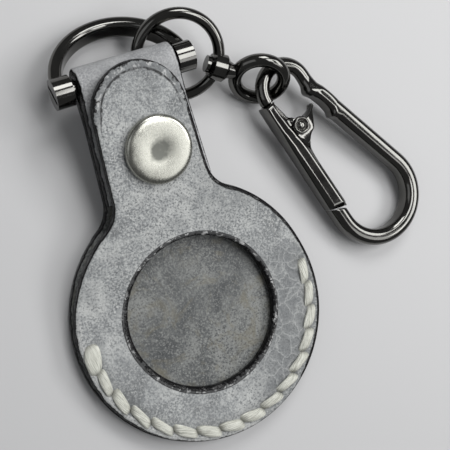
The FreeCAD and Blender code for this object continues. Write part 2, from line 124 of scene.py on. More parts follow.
def softened(line, passes):
    """Smooth a line's corners and keep its two ends."""
    for _ in range(passes):
        line = line[:1] + [((a[0] + 2 * b[0] + c[0]) / 4, (a[1] + 2 * b[1] + c[1]) / 4)
                           for a, b, c in zip(line, line[1:], line[2:])] + line[-1:]
    return line


def eased(profile):
    """Round a profile's corners by cutting them."""
    points = [profile[0]]
    for (ar, an), (br, bn) in zip(profile, profile[1:]):
        points += [(ar + (br - ar) * t, an + (bn - an) * t) for t in (0.25, 0.75)]
    return points + [profile[-1]]


def mirror(points):
    """The points mirrored in X, in reverse order."""
    return [(-x, y) for x, y in reversed(points)]


def inset(loop, distance):
    """The loop moved to its left by this distance."""
    moved = []
    for i, (x, y) in enumerate(loop):
        ax, ay = loop[i - 2]
        bx, by = loop[(i + 2) % len(loop)]
        length = math.hypot(bx - ax, by - ay) or 1.0
        moved.append((x - (by - ay) / length * distance, y + (bx - ax) / length * distance))
    return moved


def inside(point, loop):
    """Whether a point lies inside a loop."""
    x, y = point
    hit = False
    for (ax, ay), (bx, by) in zip(loop, loop[1:] + loop[:1]):
        if (ay > y) != (by > y) and x < (bx - ax) * (y - ay) / (by - ay) + ax:
            hit = not hit
    return hit


def inside_borders(point, borders):
    """Whether a point lies inside the first border and outside the others."""
    return inside(point, borders[0]) and not any(inside(point, border) for border in borders[1:])


def to_loop(point, loop):
    """Distance from a loop, negative inside it."""
    best = math.inf
    x, y = point
    for (ax, ay), (bx, by) in zip(loop, loop[1:] + loop[:1]):
        dx, dy = bx - ax, by - ay
        t = min(1.0, max(0.0, ((x - ax) * dx + (y - ay) * dy) / (dx * dx + dy * dy)))
        best = min(best, (ax + t * dx - x) ** 2 + (ay + t * dy - y) ** 2)
    return math.copysign(math.sqrt(best), -1 if inside(point, loop) else 1)


def half_outline(radius, half, flare_y, flare_deg):
    """One side from the pocket up to the neck's straight: points, where it ends, and its first angle."""
    flare = math.radians(flare_deg)
    out = Vector((math.cos(flare), math.sin(flare)))
    down = Vector((math.sin(flare), -math.cos(flare)))
    offset = Vector((half, flare_y)) + out * NECK_FILLET
    reach = radius + NECK_FILLET
    middle = offset.dot(down)
    centre = offset + down * (-middle - math.sqrt(middle ** 2 - offset.dot(offset) + reach ** 2))
    side, foot = centre - out * NECK_FILLET, centre * (radius / reach)
    first = math.degrees(math.atan2(foot.y - centre.y, foot.x - centre.x)) % 360
    last = math.degrees(math.atan2(side.y - centre.y, side.x - centre.x)) % 360
    return arc(centre.x, centre.y, NECK_FILLET, first, last), side, math.degrees(math.atan2(foot.y, foot.x))


# Building pieces

def mesh_object(name, points, faces, materials, smooth=True, attributes=None, slots=None, sharp=None):
    """A mesh from points in millimetres, with optional point attributes and an angle where edges stay sharp."""
    mesh = bpy.data.meshes.new(name)
    mesh.from_pydata([Vector(p) * MM for p in points], [], faces)
    for key, values in (attributes or {}).items():
        layer = mesh.attributes.new(key, "FLOAT", "POINT")
        layer.data.foreach_set("value", values)
    mesh.polygons.foreach_set("use_smooth", [smooth] * len(mesh.polygons))
    for material in materials:
        mesh.materials.append(material)
    if slots:
        mesh.polygons.foreach_set("material_index", slots)
    if sharp:
        mesh.set_sharp_from_angle(angle=math.radians(sharp))
    mesh.update()
    piece = bpy.data.objects.new(name, mesh)
    SCENE.collection.objects.link(piece)
    return piece


def dress(piece, body, slot, *nodes):
    """Let a piece stand for these solids, which it hides, and ride on their body if one is given; the slot is not used.
    """
    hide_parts(*nodes)
    if body:
        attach(piece, body)


def between(a, b):
    """Quads between two rings of point numbers."""
    return list(zip(a, a[1:] + a[:1], b[1:] + b[:1], b))


def ring_ids(rings, count, first=0):
    """Point numbers of rings that follow each other."""
    return [list(range(first + k * count, first + (k + 1) * count)) for k in range(rings)]


def capped_rings(rings):
    """Faces over rings of equal count, with a fan over each end: (points, faces)."""
    points = [tuple(p) for ring in rings for p in ring]
    count = len(rings[0])
    ids = ring_ids(len(rings), count)
    faces = [quad for a, b in zip(ids, ids[1:]) for quad in between(a, b)]
    for ring, flip in ((ids[0], True), (ids[-1], False)):
        points.append(tuple(sum(points[i][axis] for i in ring) / count for axis in range(3)))
        fan = [(a, b, len(points) - 1) for a, b in zip(ring, ring[1:] + ring[:1])]
        faces += [tri[::-1] for tri in fan] if flip else fan
    return points, faces


def joined(*parts):
    """Several (points, faces) as one."""
    points, faces = [], []
    for more_points, more_faces in parts:
        faces += [[i + len(points) for i in face] for face in more_faces]
        points += more_points
    return points, faces


def lathe(profile, seat, sides=96):
    """A turned piece: (radius, height) from the top middle round to the bottom middle, seated by a matrix."""
    turns = [2 * math.pi * i / sides for i in range(sides)]
    points, faces = capped_rings([[seat @ Vector((r * math.cos(t), r * math.sin(t), n)) for t in turns]
                                  for r, n in profile])
    return points, [face[::-1] for face in faces]


def cut(piece, *cutters):
    """Take closed meshes out of a piece, for good."""
    for points, faces in cutters:
        tool = mesh_object("cutter", points, faces, (), smooth=False)
        modifier = piece.modifiers.new("cut", "BOOLEAN")
        modifier.operation, modifier.solver, modifier.object = "DIFFERENCE", "EXACT", tool
        bpy.context.view_layer.update()
        mesh = bpy.data.meshes.new_from_object(piece.evaluated_get(bpy.context.evaluated_depsgraph_get()))
        piece.modifiers.clear()
        piece.data = mesh
        bpy.data.objects.remove(tool)


def triangulate(borders, field, lines=()):
    """Fill the first border outside the others, through the field's points and along lines between them.

    Returns the points, the border point that each one is, or None, and the triangles."""
    edges, start = [], 0
    for border in borders:
        edges += [(start + i, start + (i + 1) % len(border)) for i in range(len(border))]
        start += len(border)
    edges += [(start + a, start + b) for a, b in lines]
    spots = [Vector(spot) for border in borders for spot in border] + [Vector(spot) for spot in field]
    spots, _, triangles, sources, _, _ = geometry.delaunay_2d_cdt(spots, edges, [], 0, 1e-5)
    known = [next((i for i in source if i < start), None) for source in sources]

    def middle(tri):
        return tuple(sum(spots[i][axis] for i in tri) / 3 for axis in (0, 1))

    return spots, known, [tri for tri in triangles if inside_borders(middle(tri), borders)]


EXTRA_CLEAR, GRID_CLEAR, KEEP_OFF = 0.15, 0.4, 0.6  # gaps to the border, and from the grid to the extra points
JITTER, ROW_PITCH = 0.12, 0.87


def field_spots(borders, extra, spacing):
    """Points inside a sheet's borders: the extra ones, then a jittered grid that keeps off them."""
    close, guard = ([inset(border, gap) for border in borders] for gap in (EXTRA_CLEAR, GRID_CLEAR))
    field = [spot for spot in extra if inside_borders(spot, close)]
    cells = {}
    for x, y in field:
        cells.setdefault((math.floor(x), math.floor(y)), []).append((x, y))
    xs, ys = zip(*borders[0])
    row, y = 0, min(ys)
    while y < max(ys):
        x = min(xs) + (spacing / 2 if row % 2 else 0)
        while x < max(xs):
            spot = (x + random.uniform(-JITTER, JITTER), y + random.uniform(-JITTER, JITTER))
            cx, cy = math.floor(spot[0]), math.floor(spot[1])
            near = [p for i in (-1, 0, 1) for j in (-1, 0, 1) for p in cells.get((cx + i, cy + j), ())]
            if inside_borders(spot, guard) and all(math.dist(p, spot) > KEEP_OFF for p in near):
                field.append(spot)
            x += spacing
        y += spacing * ROW_PITCH
        row += 1
    return field


# The stitch and crease tints also carry painted shade
TINTS = ("edge", "scuff", "stitch_shade", "crease_shade", "ragged")
ROUND_STEPS = 5
FACE_STEPS = (0.2, 0.45, 0.85)  # rings on the face beside the round, where the paint fades


def leather_sheet(name, loops, place, materials, rounds, shade, spacing, extra):
    """A sheet with round edges. Loops run with the leather on their left; place(x, y, h) seats a point.

    rounds gives each loop its edge radius and paint(x, y), how strongly and how far the edge paint runs on to
    the face. shade(x, y) gives scuffing, painted shade at the stitches, creasing with its painted shade and how
    ragged the paint is, up to 2 where it also darkens the leather beside it."""
    half = LEATHER / 2
    points, faces, slots, spots = [], [], [], []
    tints = {key: [] for key in TINTS}

    def add(x, y, h, painted):
        points.append(place(x, y, h))
        for key, value in zip(TINTS, (painted, *shade(x, y))):
            tints[key].append(value)
        spots.append((x, y))
        return len(points) - 1

    top_rings, low_rings = [], []
    turns = [math.pi / 2 * k / ROUND_STEPS for k in range(ROUND_STEPS + 1)]
    for loop, (radius, paint) in zip(loops, rounds):
        # For each ring: how far in, how high, how far on to the face, and its share of the round
        steps = [(radius * (1 - math.cos(t)), half - radius + radius * math.sin(t), 0.0, t / math.pi * 2)
                 for t in turns]
        steps += [(radius + d, half, d, 1.0) for d in FACE_STEPS]

        def painted(spot, over, face):
            strength, reach = paint(*spot)
            return strength * max(0.0, 1 - face / reach) if face else 1 + (strength - 1) * over ** 0.8

        top, low = ([[add(x, y, h * side, painted(spot, over, face))
                      for (x, y), spot in zip(inset(loop, depth), loop)]
                     for depth, h, face, over in steps] for side in (1, -1))
        for rings, slot in ((top, 0), (low, 1)):
            quads = [quad for a, b in zip(rings, rings[1:]) for quad in between(a, b)]
            faces += [quad[::-1] for quad in quads] if slot else quads
            slots += [slot] * len(quads)
        faces += between(low[0], top[0])
        slots += [0] * len(loop)
        top_rings.append(top[-1])
        low_rings.append(low[-1])
    # One triangulation of the inner field serves both faces
    borders = [[spots[i] for i in ring] for ring in top_rings]
    fill, known, triangles = triangulate(borders, field_spots(borders, extra, spacing))
    for rings, side, slot in ((top_rings, 1, 0), (low_rings, -1, 1)):
        ids = [i for ring in rings for i in ring]
        lookup = [add(*spot, half * side, 0.0) if k is None else ids[k] for spot, k in zip(fill, known)]
        for tri in triangles:
            corners = [lookup[i] for i in tri]
            faces.append(corners[::-1] if slot else corners)
            slots.append(slot)
    return mesh_object(name, points, faces, materials, attributes=tints, slots=slots)


# Materials

class Nodes:
    """A small helper that adds nodes to one material and links them."""

    def __init__(self, name):
        self.material = bpy.data.materials.new(name)
        self.material.use_nodes = True
        self.tree = self.material.node_tree
        self.shader = self.tree.nodes["Principled BSDF"]

    def add(self, kind, inputs=None, **settings):
        node = self.tree.nodes.new(kind)
        for key, value in settings.items():
            setattr(node, key, value)
        for key, value in (inputs or {}).items():
            self.feed(node.inputs[key], value)
        return node

    def feed(self, socket, value):
        if isinstance(value, bpy.types.NodeSocket):
            self.tree.links.new(value, socket)
        elif socket.type == "RGBA":
            socket.default_value = (*value, 1.0)
        else:
            socket.default_value = value

    def set(self, **values):
        for key, value in values.items():
            self.feed(self.shader.inputs[key.replace("_", " ")], value)

    def noise(self, scale, detail, rough, vector, distortion=0.0):
        inputs = {"Scale": scale, "Detail": detail, "Roughness": rough, "Vector": vector, "Distortion": distortion}
        return self.add("ShaderNodeTexNoise", inputs).outputs["Fac"]

    def ramp(self, value, *stops):
        node = self.add("ShaderNodeValToRGB", {"Fac": value})
        band = node.color_ramp
        while len(band.elements) < len(stops):
            band.elements.new(0.5)
        for element, (place, colour) in zip(band.elements, stops):
            element.position = place
            element.color = (*colour, 1.0)
        return node.outputs["Color"]

    def mix(self, amount, a, b):
        node = self.add("ShaderNodeMix", data_type="RGBA")
        self.feed(node.inputs[0], amount)
        self.feed(node.inputs[6], a)
        self.feed(node.inputs[7], b)
        return node.outputs[2]

    def math(self, operation, a, b=0.0, clamp=False):
        node = self.add("ShaderNodeMath", operation=operation, use_clamp=clamp)
        self.feed(node.inputs[0], a)
        self.feed(node.inputs[1], b)
        return node.outputs[0]

    def plus(self, a, b, clamp=False):
        return self.math("ADD", a, b, clamp)

    def minus(self, a, b):
        return self.math("SUBTRACT", a, b)

    def times(self, a, b, clamp=False):
        return self.math("MULTIPLY", a, b, clamp)

    def span(self, value, low, high, to_low=0.0, to_high=1.0):
        node = self.add("ShaderNodeMapRange", {"Value": value, "From Min": low, "From Max": high,
                                               "To Min": to_low, "To Max": to_high})
        return node.outputs["Result"]

    def bump(self, height, strength, distance):
        inputs = {"Height": height, "Strength": strength, "Distance": distance}
        return self.add("ShaderNodeBump", inputs).outputs["Normal"]

    def place(self):
        return self.add("ShaderNodeTexCoord").outputs["Object"]

    def tint(self, name):
        return self.add("ShaderNodeAttribute", attribute_name=name).outputs["Fac"]


def grey(value):
    return value, value, value


# The first colour is light wear; the second is painted shade for the stitch holes
SCUFF, STITCH_SHADE = (0.56, 0.565, 0.55), (0.07, 0.07, 0.068)
PAINT, PAINT_LINE = (0.007, 0.007, 0.0075), (0.02, 0.02, 0.021)
# The last colour is light: worn paint chips, and painted glints on the glossy paint
PAINT_RUBBED, PAINT_CHIP_GLINT = (0.03, 0.03, 0.031), (0.58, 0.585, 0.58)


def leather(name, dark, middle, light, stain, stain_amount, grain):
    """Mottled grained leather, black where its edge is painted, scuffed and creased by attributes, with painted shade
    in the stitch holes and creases and painted highlights on the crease lines and round the window's paint.
    """
    n = Nodes(name)
    place, edge, crease_shade, ragged = n.place(), n.tint("edge"), n.tint("crease_shade"), n.tint("ragged")
    cloud = n.noise(150.0, 6.0, 0.66, place, 0.5)
    broad = n.noise(48.0, 3.0, 0.5, place)
    tone = n.ramp(n.plus(n.times(cloud, 0.7), n.times(broad, 0.3)), (0.38, dark), (0.5, middle), (0.62, light))
    fleck = n.noise(2700.0, 2.5, 0.65, place)
    coarse = n.plus(n.span(n.noise(55.0, 2.0, 0.5, place), 0.4, 0.62, 0.55, 1.0), crease_shade, clamp=True)
    tone = n.mix(n.times(n.span(fleck, 0.51, 0.62), coarse), tone, light)
    tone = n.mix(n.times(n.span(fleck, 0.48, 0.37), coarse), tone, dark)
    patches = n.noise(170.0, 4.0, 0.65, place, 1.4)
    tone = n.mix(n.span(patches, 0.52, 0.7, 0.0, stain_amount), tone, stain)
    # Light ridges that wander over the hide
    wander = n.noise(120.0, 3.0, 0.6, place, 1.6)
    vein = n.span(n.math("ABSOLUTE", n.minus(wander, 0.5)), 0.0, 0.02, 1.0, 0.0)
    tone = n.mix(n.times(vein, 0.3), tone, light)
    # Creases where the hide was bent: painted shade darkens the region and the cells between the creases, and painted
    # highlights lighten the crease lines
    sway = n.add("ShaderNodeTexNoise", {"Vector": place, "Scale": 260.0, "Detail": 3.0}).outputs["Color"]
    shifted = n.add("ShaderNodeVectorMath", {0: sway, 1: (0.004, 0.004, 0.004), 2: place}, operation="MULTIPLY_ADD")
    cells = n.add("ShaderNodeTexVoronoi", {"Vector": shifted.outputs[0], "Scale": 380.0}, feature="DISTANCE_TO_EDGE")
    hollow = n.times(n.span(cells.outputs["Distance"], 0.02, 0.3), crease_shade, clamp=True)
    ridge = n.times(n.span(cells.outputs["Distance"], 0.0, 0.05, 1.0, 0.0), crease_shade, clamp=True)
    # Painted shade over the bent region and in the cells, then painted highlights on the crease lines
    tone = n.mix(n.times(crease_shade, 0.64), tone, dark)
    tone = n.mix(n.times(hollow, 0.5), tone, dark)
    tone = n.mix(n.times(ridge, 0.45), tone, light)
    scuffed = n.span(n.plus(n.tint("scuff"), n.span(fleck, 0.3, 0.7, -0.45, 0.45)), 0.35, 0.75, 0.0, 0.75)
    tone = n.mix(scuffed, tone, SCUFF)
    # Painted shade in the stitch holes and along the stitch channel
    tone = n.mix(n.times(n.tint("stitch_shade"), 0.75), tone, STITCH_SHADE)
    # Beside ragged edge paint lies a dark, rubbed and chipped band with a thin line along it; its light flecks are
    # worn chips at the tongue's tip and the lower left, and painted glints on the glossy paint round the window.
    # It is nearly black where the attribute is well over 1, which is round the window
    wear = n.noise(620.0, 5.0, 0.65, place)
    rubbed = n.times(n.span(edge, 0.07, 0.12), ragged, clamp=True)
    tone = n.mix(n.times(rubbed, 0.65), tone, dark)
    tone = n.mix(n.times(rubbed, n.span(ragged, 1.2, 1.8, 0.0, 0.85)), tone, PAINT_RUBBED)
    # Light flecks: worn chips, and painted glints round the window
    chipped = n.span(n.noise(800.0, 4.0, 0.6, place, 0.8), 0.53, 0.61, 0.0, 0.75)
    tone = n.mix(n.times(rubbed, chipped), tone, PAINT_CHIP_GLINT)
    line = n.times(n.span(edge, 0.06, 0.085), n.span(edge, 0.12, 0.15, 1.0, 0.0))
    line = n.times(n.times(line, ragged, clamp=True), n.span(wear, 0.38, 0.5, 0.3, 0.95))
    tone = n.mix(line, tone, PAINT_LINE)
    chips = n.times(n.span(wear, 0.32, 0.68, -1.0, 1.0), n.span(ragged, 0.0, 1.0, 0.08, 0.36))
    black = n.span(n.plus(edge, chips), 0.45, 0.56)
    n.set(Base_Color=n.mix(black, tone, PAINT))
    n.set(Roughness=n.mix(black, n.ramp(fleck, (0.3, grey(0.5)), (0.7, grey(0.68))), grey(0.22)))
    n.set(Specular_IOR_Level=n.mix(black, grey(0.35), n.ramp(wear, (0.5, grey(0.08)), (0.62, grey(0.5)))))
    pores = n.add("ShaderNodeTexVoronoi", {"Vector": place, "Scale": 1500.0, "Randomness": 1.0})
    height = n.plus(n.times(pores.outputs["Distance"], 0.55), n.times(fleck, 0.7))
    height = n.minus(height, n.times(hollow, 0.7))
    height = n.plus(height, n.times(vein, 0.25))
    height = n.plus(height, n.times(n.times(wear, black), 2.0))
    n.set(Normal=n.bump(height, 0.65, grain * MM))
    return n.material


def dark_metal():
    """Polished black nickel with faint smears."""
    n = Nodes("black_nickel")
    place = n.place()
    smear = n.noise(260.0, 4.0, 0.6, place)
    fine = n.noise(2600.0, 2.0, 0.5, place)
    n.set(Metallic=1.0)
    n.set(Base_Color=n.ramp(smear, (0.3, (0.105, 0.104, 0.099)), (0.7, (0.138, 0.136, 0.128))))
    n.set(Roughness=n.ramp(n.plus(n.times(smear, 0.8), n.times(fine, 0.2)), (0.35, grey(0.07)), (0.7, grey(0.15))))
    return n.material


def worn_nickel(name, deep, pale, low_rough, high_rough, dark_tone=None):
    """Bright nickel, cloudy and finely rubbed, darker and duller where an attribute says so."""
    n = Nodes(name)
    place = n.place()
    cloud = n.noise(420.0, 6.0, 0.7, place)
    squeeze = n.add("ShaderNodeMapping", {"Vector": place, "Rotation": (0.0, 0.0, 0.6), "Scale": (7.0, 1.0, 1.0)})
    lines = n.noise(620.0, 5.0, 0.7, squeeze.outputs["Vector"])
    tone = n.ramp(cloud, (0.3, deep), (0.62, pale))
    rough = n.ramp(n.plus(n.times(lines, 0.5), n.times(cloud, 0.5)),
                   (0.35, grey(low_rough)), (0.65, grey(high_rough)))
    if dark_tone:
        darkening = n.span(n.plus(n.tint("darkening"), n.span(cloud, 0.3, 0.7, -0.4, 0.4)), 0.2, 0.8)
        tone = n.mix(darkening, tone, dark_tone)
        rough = n.mix(darkening, rough, grey(0.5))
    n.set(Metallic=1.0, Base_Color=tone, Roughness=rough)
    n.set(Normal=n.bump(n.plus(lines, cloud), 0.15, 0.05 * MM))
    return n.material


def waxed_thread():
    """Off-white waxed thread with fibres that run along each stitch, and painted shade where its ends dip into the
    holes.
    """
    n = Nodes("waxed_thread")
    strand = n.add("ShaderNodeCombineXYZ", {"X": n.times(n.tint("along"), 0.35), "Y": n.tint("around"),
                                            "Z": n.tint("which")})
    fibre = n.noise(5.0, 5.0, 0.65, strand.outputs[0], 0.3)
    darkening = n.noise(420.0, 4.0, 0.6, n.place())
    tone = n.ramp(fibre, (0.36, (0.27, 0.27, 0.225)), (0.48, (0.65, 0.655, 0.585)), (0.62, (0.82, 0.825, 0.75)))
    tone = n.mix(n.span(darkening, 0.54, 0.74, 0.0, 0.45), tone, (0.36, 0.35, 0.31))
    # Painted shade darkens the stitch's ends where they dip into the holes
    n.set(Base_Color=n.mix(n.times(n.tint("dip"), 0.8), tone, (0.1, 0.098, 0.09)))
    n.set(Roughness=0.6, Specular_IOR_Level=0.35)
    n.set(Normal=n.bump(fibre, 0.7, 0.2 * MM))
    return n.material


def floor_material():
    n = Nodes("floor")
    n.set(Base_Color=(0.58, 0.58, 0.585), Roughness=0.65)
    return n.material


FRONT = leather("front_leather", (0.16, 0.168, 0.173), (0.322, 0.334, 0.338), (0.52, 0.53, 0.52),
                stain=(0.19, 0.198, 0.206), stain_amount=0.5, grain=0.19)
FLESH = leather("leather_underside", (0.1, 0.095, 0.085), (0.15, 0.142, 0.128), (0.2, 0.19, 0.172),
                stain=(0.11, 0.1, 0.085), stain_amount=0.4, grain=0.2)
OUTER = leather("back_leather", (0.24, 0.245, 0.252), (0.365, 0.37, 0.378), (0.48, 0.485, 0.49),
                stain=(0.27, 0.275, 0.285), stain_amount=0.4, grain=0.1)
INNER = leather("window_leather", (0.066, 0.07, 0.073), (0.135, 0.141, 0.14), (0.25, 0.257, 0.247),
                stain=(0.165, 0.152, 0.112), stain_amount=0.75, grain=0.14)
DARK = dark_metal()
NICKEL = worn_nickel("nickel", (0.5, 0.49, 0.46), (0.72, 0.71, 0.68), 0.24, 0.42)
CAP = worn_nickel("cap_nickel", (0.34, 0.34, 0.305), (0.45, 0.45, 0.405), 0.22, 0.32, (0.165, 0.168, 0.152))
THREAD = waxed_thread()

# Leather front: one sheet that bends at the fold line

HOLE_TURNS = [math.radians(STITCH_FIRST + STITCH_SPAN * i / STITCHES) for i in range(STITCHES + 1)]
HOLE_RADII = [STITCH_R - STITCH_DRIFT * max(0.0, math.cos(t)) for t in HOLE_TURNS]
HOLES = [(r * math.cos(t), r * math.sin(t)) for r, t in zip(HOLE_RADII, HOLE_TURNS)]
FRONT_ROUND, RIM_ROUND, BACK_ROUND = 0.55, 0.7, 0.5
FRONT_SPACING, BACK_SPACING = 0.9, 1.0


def stitched(x, y, lead=2.0):
    """Whether this point's angle lies along the stitching, or at most lead degrees past its ends."""
    turn = (math.degrees(math.atan2(y, x)) - STITCH_FIRST + lead) % 360
    return turn < STITCH_SPAN + 2 * lead


def stitch_rows(radii, step, lead=2.0):
    """Points on arcs along the stitching, where the mesh has to be finer."""
    turns = [(r, k * step / r) for r in radii for k in range(int(2 * math.pi * r / step))]
    return [(r * math.cos(t), r * math.sin(t)) for r, t in turns if stitched(math.cos(t), math.sin(t), lead)]


def near_hole(x, y):
    """Distance to the nearest stitch hole."""
    return min(math.dist((x, y), hole) for hole in HOLES)


def front_outline():
    base = TONGUE_TIP - NECK_HALF
    right_half, left_half = NECK_HALF + TONGUE_SHIFT, NECK_HALF - TONGUE_SHIFT
    right, right_side, right_turn = half_outline(FRONT_R, right_half, base, RIGHT_FLARE)
    left, left_side, left_turn = half_outline(FRONT_R, left_half, base, LEFT_FLARE)
    loop = right + run(tuple(right_side), (right_half, base))
    loop += arc(TONGUE_SHIFT, base, NECK_HALF, 0, 180)
    loop += mirror(left + run(tuple(left_side), (left_half, base)))
    return loop + arc(0, 0, FRONT_R, 180 - left_turn, 360 + right_turn)


def front_place(x, y, h):
    """The front sheet's middle surface, flat below the fold and sloping above it, pressed in by the stitches."""
    t = (y - FOLD_Y) / FOLD_SOFT
    turn = SLOPE / (1 + math.exp(-t))
    z = LEATHER * 1.5 + math.tan(SLOPE) * FOLD_SOFT * math.log1p(math.exp(t))
    sink = 0.05 * noise.noise(Vector((x * 0.16, y * 0.16, 2.0)))
    if stitched(x, y):
        sink -= 0.2 * bell(math.hypot(x, y) - STITCH_R, 0.9) + 0.3 * bell(near_hole(x, y), 0.7)
    h += sink * max(0.0, h / (LEATHER / 2))
    sway = 0.1 * noise.noise(Vector((x * 0.12, y * 0.12, 7.0)))
    return x + sway, y - h * math.sin(turn) + sway * 0.6, z + h * math.cos(turn)


def front_shade(x, y):
    """Scuffs outside the stitches, painted shade in their holes, and creases with painted shade right of the window and
    above it on the right.

    The paint is ragged round the window, at the tongue's tip and at the lower left."""
    radius = math.hypot(x, y)
    low = y < FOLD_Y
    left = smooth_step(-x - 0.6 * y, 2.0, 22.0)
    scuff = 0.75 * smooth_step(radius, 22.6, 23.4) * (0.35 + 0.65 * left) if low else 0.0
    stitch_shade = 0.0
    # Painted shade in the stitch holes and along a line just inside them
    if stitched(x, y):
        stitch_shade = 0.8 * bell(near_hole(x, y), 0.75) + 0.3 * bell(radius - STITCH_R + 1.3, 0.5)
    # The crease mask also carries painted shade where the hide bends, right of the window and at the neck's foot
    crease_shade = smooth_step(x - 0.35 * y, 8.0, 16.0) * (1 - smooth_step(y, 4.0, 9.5)) if low else 0.0
    crease_shade = max(crease_shade, 0.45 * bell(y - 21.0, 5.0) * smooth_step(x, 1.0, 8.0))
    rim = 2 - 2 * smooth_step(math.hypot(x, y - WINDOW_UP), WINDOW_R + 1.5, WINDOW_R + 2.1)
    return scuff, stitch_shade, crease_shade, max(rim, smooth_step(y, 36.0, 40.0) + 0.4 * left * low)


def front_paint(x, y):
    """How strongly, and how far on to the face, the edge paint shows: chipped far in at the tongue's tip."""
    tip = smooth_step(y, 36.5, 40.5)
    right = smooth_step(x + 0.35 * y, 2.0, 12.0) * (1 - tip)
    return 0.2 + 0.06 * tip + 0.42 * right, 0.35 + 1.1 * tip + 0.3 * right


def rim_paint(x, y):
    """The window's paint: thick at the lower left, thin at the top."""
    left = smooth_step(-x - 0.6 * y, -4.0, 9.0)
    top = smooth_step(y, 3.0, 10.0)
    return 0.48 + 0.1 * left - 0.16 * top, 0.42 + 0.14 * left - 0.12 * top


window = arc(0, WINDOW_UP, WINDOW_R, 360, 0)
front = leather_sheet("front_sheet", [front_outline(), window], front_place, (FRONT, FLESH),
                      ((FRONT_ROUND, front_paint), (RIM_ROUND, rim_paint)), front_shade, FRONT_SPACING,
                      stitch_rows((20.9, 21.5, 21.95, 22.35), 0.6))
dress(front, None, "front_leather", "front_panel", "front_flap")
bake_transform(front)

# Leather back: the sheet's middle line runs up the neck, round the pin and back down

LOOP_STEPS, EDGE_STEP = 40, 0.5


def middle_line():
    """The back sheet's middle line from below, as (y, z), and the length to each point from the pocket's middle."""
    radius, half = LOOP_IN + LEATHER / 2, LEATHER / 2
    pin = on_neck(PIN_ALONG, PIN_RISE)

    def leave(height, turn, side):
        level = side * (height - PIN_RISE) * math.cos(turn)
        return on_neck(PIN_ALONG - (radius - level) / math.sin(turn), height)

    def on_loop(turn):
        angle = turn - SLOPE
        return pin[0] + radius * math.sin(angle), pin[1] + radius * math.cos(angle)

    corners = [(-BACK_R, half), (BEND_Y - half * math.tan(SLOPE / 2), half), leave(half, DIP, -1)]
    first, last = math.pi + DIP, -RISE
    corners += [on_loop(first + (last - first) * i / LOOP_STEPS) for i in range(LOOP_STEPS + 1)]
    corners += [leave(TAIL_LOW + half, RISE, 1), on_neck(TAIL_END, TAIL_LOW + half)]
    line = []
    for a, b in zip(corners, corners[1:]):
        line += run(a, b, 0.2)
    line = softened(line + corners[-1:], 6)
    lengths = [0.0]
    for a, b in zip(line, line[1:]):
        lengths.append(lengths[-1] + math.dist(a, b))
    return line, [value - BACK_R for value in lengths]


LINE, LENGTHS = middle_line()


def on_line(length):
    """(y, z, normal y, normal z) at this length along the back sheet's middle line."""
    low, high = 0, len(LENGTHS) - 1
    while high - low > 1:
        middle = (low + high) // 2
        if LENGTHS[middle] <= length:
            low = middle
        else:
            high = middle
    a, b = LINE[low], LINE[high]
    span = LENGTHS[high] - LENGTHS[low]
    t = (length - LENGTHS[low]) / span
    dy, dz = (b[0] - a[0]) / span, (b[1] - a[1]) / span
    return a[0] + (b[0] - a[0]) * t, a[1] + (b[1] - a[1]) * t, -dz, dy


def back_place(x, length, h):
    """The back sheet along its middle line, with the groove that takes the rear stitches."""
    y, z, ny, nz = on_line(length)
    if h < 0 and length < BEND_Y and stitched(x, length, 3.0):
        off = abs(math.hypot(x, length) - STITCH_R)
        open_part = 1 - smooth_step(off, GROOVE_WIDE / 2 - GROOVE_SOFT, GROOVE_WIDE / 2 + GROOVE_SOFT)
        h += GROOVE_DEEP * open_part * -h / (LEATHER / 2)
    return x, y + ny * h, z + nz * h


def back_outline():
    sides = []
    for shift, flare_deg in ((STRAP_SHIFT, RIGHT_FLARE), (-STRAP_SHIFT, LEFT_FLARE)):
        half = NECK_HALF + STRAP_OVER + shift
        edge, side, turn = half_outline(BACK_R, half, PIN_Y, flare_deg)
        edge = [(x, y + max(0.0, y - BEND_Y) * (1 / math.cos(SLOPE) - 1)) for x, y in edge]
        flare = math.tan(math.radians(flare_deg))
        length = edge[-1][1] + EDGE_STEP
        while length < LENGTHS[-1] - 0.3:
            edge.append((half + max(0.0, PIN_Y - on_line(length)[0]) * flare, length))
            length += EDGE_STEP
        edge.append((half + max(0.0, PIN_Y - LINE[-1][0]) * flare, LENGTHS[-1] - 0.01))
        sides.append((edge, turn))
    (right, right_turn), (left, left_turn) = sides
    across = run(right[-1], (-left[-1][0], left[-1][1]))[1:]
    return right + across + mirror(left) + arc(0, 0, BACK_R, 180 - left_turn, 360 + right_turn)


def back_shade(x, length):
    """Some painted shade along the stitches, and paint that is slightly ragged."""
    return 0.0, 0.35 * bell(math.hypot(x, length) - STITCH_R, 1.0) * stitched(x, length), 0.0, 0.2


def back_paint(x, length):
    return 0.3, 0.35


back = leather_sheet("back_sheet", [back_outline()], back_place, (INNER, OUTER), ((BACK_ROUND, back_paint),),
                     back_shade, BACK_SPACING, stitch_rows((21.2, 21.4, 21.65, 22.4), 0.7, 3.5))
dress(back, "pocket", "back_leather", "back_panel")

# Stitching: slanted two-ply stitches on the front, flatter ones in the rear groove

STITCH_RINGS, STITCH_SIDES = 22, 28
FIRST_STITCH = {"wide": 1.66, "high": 0.52, "slant": 0.25, "skew": 0.2, "blunt": 0.2}
REAR_STITCH = {"level": 0.42, "rise": 0.0, "dip": -0.5, "wide": 0.8, "high": 0.3, "slant": 0.2, "skew": 0.3,
               "blunt": 0.58}
REAR_NUMBER = 40  # keeps the fibres of the rear stitches unlike those in front


